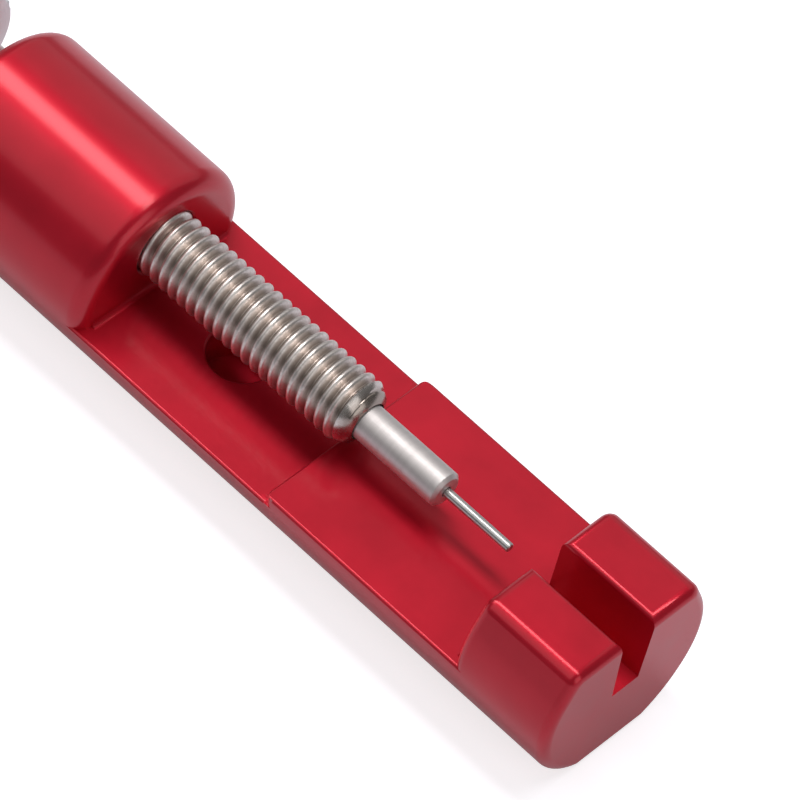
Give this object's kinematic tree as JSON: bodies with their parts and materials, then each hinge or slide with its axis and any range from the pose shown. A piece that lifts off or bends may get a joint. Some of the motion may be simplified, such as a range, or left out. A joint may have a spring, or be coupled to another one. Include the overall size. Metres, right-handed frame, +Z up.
{
  "type": "watch link remover",
  "caption": "Hand-turned screw press that pushes the pins out of watch bracelet links: red one-piece frame with a slotted anvil, steel feed screw, pin holder and knob.",
  "frame": {"origin": "on the base flat, straight below the front face of the head, in the middle of the tool's width", "axes": "+X along the feed screw from the head towards the anvil, +Z up from the base flat, +Y to the tool's left seen from the knob"},
  "size_m": [0.1022, 0.022, 0.0217],
  "materials": {
    "red_lacquer": "aluminium frame under a smooth satin-gloss red lacquer",
    "screw_steel": "bright rolled thread, slightly burnished crests",
    "turned_aluminium": "pale turned metal with fine concentric tool marks",
    "black_steel": "black oxide",
    "holder_steel": "smooth ground steel, darker at the chamfered nose",
    "pin_steel": "hardened ground steel"
  },
  "bodies": {
    "frame": {"frame": "red_lacquer"},
    "drive_pin": {"drive_pin": "pin_steel"},
    "spindle": {"feed_screw": "screw_steel", "knob": "turned_aluminium", "knob_grub_screw": "black_steel", "pin_holder": "holder_steel"}
  },
  "joints": [
    {"name": "screw_travel", "type": "slide", "parent": "frame", "child": "drive_pin", "axis": [1, 0, 0], "range_m": [-0.027, 0.0048]},
    {"name": "screw_turn", "type": "hinge", "parent": "drive_pin", "child": "spindle", "pos_m": [0, 0, 0.0141], "axis": [1, 0, 0], "range_deg": [-7776, 1382.4]}
  ],
  "couplings": [
    {"joint": "screw_turn", "follows": "screw_travel", "rad_per_m": 5026.5}
  ]
}
